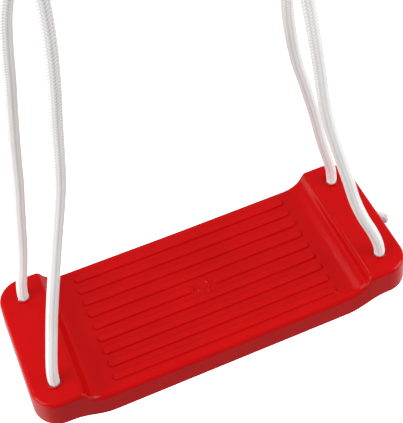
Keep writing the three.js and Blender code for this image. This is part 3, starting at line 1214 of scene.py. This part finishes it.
    def build_seizing(self) -> bpy.types.Object:
        """Builds the twine seizing: turns round both legs, then two turns across between them.

        Returns:
            The seizing.
        """
        x, low = self.side.value * self.top_x, self.seat.deck + self.seizing_bottom
        radius = self.rope / 2 + self.twine / 2 - 0.1 * MM
        turns = int((self.seizing_length - self.twine) / (self.twine * self.twine_pitch))
        straight, arc = 2 * self.leg_spread, math.pi * radius
        lap = 2 * (straight + arc)
        per_turn = 20
        points = []
        for i in range(turns * per_turn + 1):
            s = (i / per_turn % 1) * lap
            z = low + self.twine * (0.55 + self.twine_pitch * i / per_turn)
            if s < straight:
                points.append((x + radius, -self.leg_spread + s, z))
            elif s < straight + arc:
                a = (s - straight) / radius
                points.append((x + radius * math.cos(a), self.leg_spread + radius * math.sin(a), z))
            elif s < 2 * straight + arc:
                points.append((x - radius, self.leg_spread - (s - straight - arc), z))
            else:
                a = math.pi + (s - 2 * straight - arc) / radius
                points.append((x + radius * math.cos(a), -self.leg_spread + radius * math.sin(a), z))
        bm = TwineTube(Route(points, step=1.0 * MM), self.twine / 2, sides=10).shape()
        out, top = radius + self.twine * 0.8, low + self.twine * (0.9 + self.twine_pitch * turns)
        bottom = low - self.twine * 0.1
        middle, bend = (top + bottom) / 2, out * 0.72
        for y in (-self.twine / 2, self.twine / 2):
            loop = [
                (x + out, y, middle), (x + out, y, top - 2 * MM), (x + bend, y, top + 0.4 * MM),
                (x, y, top + 0.7 * MM), (x - bend, y, top + 0.4 * MM), (x - out, y, top - 2 * MM),
                (x - out, y, middle), (x - out, y, bottom + 2 * MM), (x - bend, y, bottom - 0.4 * MM),
                (x, y, bottom - 0.7 * MM), (x + bend, y, bottom - 0.4 * MM), (x + out, y, bottom + 2 * MM),
                (x + out, y, middle + 0.5 * MM),
            ]
            add_shape(bm, TwineTube(Route(loop), self.twine / 2, sides=10).shape())
        piece = make_object(f"twine_seizing_{self.side.word}", bm, self.twine_finish)
        shade(piece, self.round_crease)
        return settle(piece, Body.SEAT, "twine", f"seizing_{self.side.word}")

    def build_thimble(self) -> bpy.types.Object:
        """Builds the thimble: a steel gutter bent round to a teardrop, with the rope lying in it.

        Returns:
            The thimble.
        """
        crown = self.seat.deck + self.crown_height
        centre = Vector((self.side.value * self.top_x, 0, crown))
        low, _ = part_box(f"thimble_{self.side.word}")
        point = crown - low.z
        gutter = [(across * MM, out * MM - self.thimble_wall) for across, out in self.GUTTER]
        lean = math.asin(min(out for _, out in gutter) / point)
        radial = Vector((0, math.cos(lean), -math.sin(lean)))
        section = loop_of([centre + Vector((across, 0, 0)) + radial * out for across, out in gutter])
        ring = [*section.verts, *section.edges]
        spun = bmesh.ops.spin(
            section, geom=ring, cent=centre, axis=(1, 0, 0), angle=math.pi + 2 * lean,
            steps=self.gutter_steps, use_merge=False,
        )
        far = [g for g in spun["geom_last"] if isinstance(g, bmesh.types.BMEdge)]
        near = [e for e in ring if isinstance(e, bmesh.types.BMEdge)]
        along = Vector((0, math.sin(lean), math.cos(lean)))
        for edges, sign in ((near, 1), (far, -1)):
            arm = bmesh.ops.extrude_edge_only(section, edges=edges)["geom"]
            verts = [g for g in arm if isinstance(g, bmesh.types.BMVert)]
            drop = -Vector((0, sign * along.y, along.z)) * (point * math.cos(lean))
            bmesh.ops.translate(section, vec=drop * 0.985, verts=verts)  # ends just short of the point
        bmesh.ops.holes_fill(section, edges=[e for e in section.edges if e.is_boundary], sides=0)
        bmesh.ops.recalc_face_normals(section, faces=section.faces)
        piece = make_object(f"steel_thimble_{self.side.word}", section, self.steel_finish)
        shade(piece, self.gutter_crease)
        return settle(piece, Body.SEAT, "zinc_steel", f"thimble_{self.side.word}")

    def build_ring(self) -> bpy.types.Object:
        """Builds the welded ring that hangs on the hook, with the weld's low bead.

        Returns:
            The ring.
        """
        low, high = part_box(f"ring_{self.side.word}")
        centre = (low + high) / 2
        wire = (high.y - low.y) / 2
        radius = (high.z - low.z) / 2 - wire
        bm = bmesh.new()
        start = Matrix.Translation(centre + Vector((radius, 0, 0)))
        upright = Matrix.Rotation(math.pi / 2, 4, "X")
        bmesh.ops.create_circle(bm, segments=self.wire_sides, radius=wire, matrix=start @ upright)
        spun_ring(bm, centre, Vector((0, 1, 0)), self.ring_steps)
        for v in bm.verts:
            away = v.co - centre
            angle = math.atan2(away.z, away.x) - math.radians(self.WELDS[self.side])
            off = math.atan2(math.sin(angle), math.cos(angle)) * radius
            swell = self.weld_swell * math.exp(-((off / self.weld_width) ** 2))
            core = centre + Vector((away.x, 0, away.z)).normalized() * radius
            v.co = core + (v.co - core) * (1 + swell)
        piece = make_object(f"welded_ring_{self.side.word}", bm, self.steel_finish)
        shade(piece, self.round_crease)
        return settle(piece, Body.RINGS, "zinc_steel", f"ring_{self.side.word}")

    def build(self) -> None:
        """Builds this side's pieces and logs its rope's length along its line."""
        rope, route = self.build_rope()
        knots = [self.build_knot(end) for end in End]
        seizing = self.build_seizing()
        self.build_thimble()
        self.build_ring()
        log.info("%s: %.3f m along its line", rope.name, route.length)


# ------------------------------------------------------------------ studio


@dataclass(frozen=True)
class SoftBox:
    """One square soft light. The heights of its place and aim are above the deck."""

    name: str
    place: tuple[float, float, float]
    aim: tuple[float, float, float]
    size: float
    power: float  # in watts

    def hang(self, deck: float) -> None:
        """Hangs the light.

        Args:
            deck: the height of the seat's deck.
        """
        data = bpy.data.lights.new(self.name, "AREA")
        data.shape, data.size, data.energy = "SQUARE", self.size, self.power
        lamp = bpy.data.objects.new(self.name, data)
        place, aim = (Vector((x, y, deck + up)) for x, y, up in (self.place, self.aim))
        facing = (aim - place).to_track_quat("-Z", "Y")
        lamp.matrix_world = Matrix.Translation(place) @ facing.to_matrix().to_4x4()
        bpy.context.scene.collection.objects.link(lamp)


@dataclass
class Surround:
    """The light that comes from each direction, as the world's nodes."""

    tree: bpy.types.NodeTree
    way: bpy.types.Node  # the direction, split into X, Y and Z

    def step(self, axis: str, start: float, end: float, high: float = 1.0) -> bpy.types.NodeSocket:
        """Makes a soft step along an axis.

        Args:
            axis: "X", "Y" or "Z".
            start: where it is 0.
            end: where it is full.
            high: how high it is there.

        Returns:
            The step's value.
        """
        return add_node(
            self.tree,
            "MapRange",
            {"Value": self.way.outputs[axis], "From Min": start, "From Max": end, "To Min": 0.0,
             "To Max": high},
            interpolation_type="SMOOTHSTEP",
        ).outputs["Result"]

    def joined(self, operation: str, *values: object) -> bpy.types.NodeSocket:
        """Adds or multiplies values.

        Args:
            operation: "ADD" or "MULTIPLY".
            values: numbers or other nodes' output sockets.

        Returns:
            The total.
        """
        total = values[0]
        for value in values[1:]:
            total = add_node(self.tree, "Math", {0: total, 1: value}, operation=operation).outputs[0]
        return total

    def dome(self) -> bpy.types.NodeSocket:
        """Makes the soft overhead light: bright above, weak in front and below.

        Returns:
            The dome's colour.
        """
        rise = add_node(
            self.tree, "MapRange", {"Value": self.way.outputs["Z"], "From Min": -1.0, "From Max": 1.0}
        )
        ramp = add_node(self.tree, "ValToRGB", {"Fac": rise.outputs["Result"]})
        set_ramp(
            ramp,
            [(0.0, "#6a6a6a"), (0.46, "#707070"), (0.56, "#969696"), (0.75, "#dedede"), (1.0, "#ffffff")],
        )
        lean = add_node(
            self.tree,
            "MapRange",
            {"Value": self.way.outputs["Y"], "From Min": -1.0, "From Max": 1.0, "To Min": 0.5,
             "To Max": 1.3},
        )
        return add_node(
            self.tree,
            "Mix",
            {"Factor": 1.0, 6: ramp.outputs["Color"], 7: lean.outputs["Result"]},
            data_type="RGBA",
            blend_type="MULTIPLY",
        ).outputs[2]

    def mirrored_room(self) -> bpy.types.NodeSocket:
        """Makes what gloss mirrors: a dim room with pale walls low at the sides, a table and a window.

        Returns:
            The room's colour.
        """
        dim = 0.4
        # each wall brightens towards its side and fades out just above the level
        left_wall = self.joined("MULTIPLY", self.step("X", -0.5, -0.8, 2.2), self.step("Z", 0.08, -0.05))
        right_wall = self.joined("MULTIPLY", self.step("X", 0.55, 0.9, 1.2), self.step("Z", 0.1, -0.15))
        table = self.step("Z", -0.2, -0.7, 0.3)
        # a slit high up at the left: the steps bound it in X, in Y and from below in Z
        window = self.joined(
            "MULTIPLY", self.step("X", -0.35, -0.45, 8.0), self.step("X", -0.8, -0.7),
            self.step("Y", 0.44, 0.45), self.step("Y", 0.482, 0.472), self.step("Z", 0.3, 0.4),
        )
        glow = self.joined("ADD", left_wall, right_wall, table, window, dim)
        return add_node(self.tree, "CombineColor", {i: glow for i in range(3)}).outputs[0]


@dataclass
class Studio:
    """The camera, a plain pale floor and soft studio lights."""

    azimuth: float = -18.34
    elevation: float = 52.70
    roll: float = -5.72
    distance: float = 1.060
    target: tuple = (0.03669, 0.09137)
    focal: float = 83.82
    sensor: float = 36.0
    floor_drop: float = 2.2
    floor_size: float = 30.0
    dome_power: float = 1.3
    boxes: tuple[SoftBox, ...] = (
        SoftBox("left_box", (-1.6, -0.25, 0.75), (0.0, 0.0, 0.0), 1.3, 26.0),
        SoftBox("right_box", (1.0, -0.6, 0.35), (0.1, 0.0, 0.0), 0.7, 9.5),
    )

    def build_camera(self, deck: float) -> None:
        """Puts the camera in place.

        Args:
            deck: the height of the seat's deck, where the camera's line of sight meets it.
        """
        az, el, roll = (math.radians(v) for v in (self.azimuth, self.elevation, self.roll))
        back = Vector((math.sin(az) * math.cos(el), -math.cos(az) * math.cos(el), math.sin(el)))
        right = Vector((math.cos(az), math.sin(az), 0))
        up = back.cross(right)
        across = right * math.cos(roll) + up * math.sin(roll)
        upward = up * math.cos(roll) - right * math.sin(roll)
        place = Vector((*self.target, deck)) + back * self.distance
        data = bpy.data.cameras.new("camera")
        data.sensor_width, data.lens, data.clip_start = self.sensor, self.focal, 10 * MM
        data.sensor_fit = "HORIZONTAL"
        camera = bpy.data.objects.new("camera", data)
        turned = Matrix((across, upward, back)).transposed().to_4x4()
        camera.matrix_world = Matrix.Translation(place) @ turned
        bpy.context.scene.collection.objects.link(camera)
        bpy.context.scene.camera = camera

    def build_floor(self, deck: float) -> None:
        """Lays a wide pale floor.

        Args:
            deck: the height of the seat's deck.
        """
        bm = bmesh.new()
        bmesh.ops.create_grid(bm, x_segments=4, y_segments=4, size=self.floor_size)
        bmesh.ops.translate(bm, vec=(0, 0, deck - self.floor_drop), verts=bm.verts)
        mesh = bpy.data.meshes.new("floor")
        bm.to_mesh(mesh)
        bm.free()
        paper = bpy.data.materials.new("matt_white_paper")
        paper.use_nodes = True
        paper.node_tree.nodes.clear()
        shader = add_node(
            paper.node_tree,
            "BsdfPrincipled",
            {"Base Color": linear("#f4f4f4"), "Roughness": 0.95, "Specular IOR Level": 0.1,
             "Emission Color": linear("#ffffff"), "Emission Strength": 1.0},
        )
        add_node(paper.node_tree, "OutputMaterial", {"Surface": shader.outputs[0]})
        mesh.materials.append(paper)
        floor = bpy.data.objects.new("floor", mesh)
        bpy.context.scene.collection.objects.link(floor)
        floor.visible_diffuse = floor.visible_glossy = False  # the surround lights the seat from below

    def build_lights(self, deck: float) -> None:
        """Hangs a soft box on each side and wraps the room round the swing.

        Args:
            deck: the height of the seat's deck.
        """
        for box in self.boxes:
            box.hang(deck)
        world = bpy.data.worlds.new("studio")
        world.use_nodes = True
        tree = world.node_tree
        tree.nodes.clear()
        direction = add_node(tree, "TexCoord").outputs["Generated"]
        surround = Surround(tree, add_node(tree, "SeparateXYZ", {0: direction}))
        soft = add_node(tree, "Background", {"Color": surround.dome(), "Strength": self.dome_power})
        room = add_node(tree, "Background", {"Color": surround.mirrored_room(), "Strength": 1.0})
        plain = add_node(tree, "Background", {"Color": linear("#ffffff"), "Strength": 1.0})
        path = add_node(tree, "LightPath").outputs
        lit = add_node(
            tree, "MixShader", {0: path["Is Glossy Ray"], 1: soft.outputs[0], 2: room.outputs[0]}
        )
        seen = add_node(
            tree, "MixShader", {0: path["Is Camera Ray"], 1: lit.outputs[0], 2: plain.outputs[0]}
        )
        add_node(tree, "OutputWorld", {"Surface": seen.outputs[0]})
        bpy.context.scene.world = world
        bpy.context.scene.view_settings.view_transform = "Standard"


def main() -> None:
    """Builds the studio, the ropes with their fittings, and the seat."""
    logging.basicConfig(level=logging.INFO, format="%(name)s %(message)s")
    seat = SeatShell(MouldedPolyethylene())
    studio = Studio()
    studio.build_camera(seat.deck)
    rope, twine, steel = BraidedPolypropylene(), TwistedTwine(), ZincPlatedSteel()
    for side in Side:
        Suspension(side, seat, rope, twine, steel).build()
    seat.build()
    studio.build_floor(seat.deck)
    studio.build_lights(seat.deck)


if __name__ == "__main__":
    main()
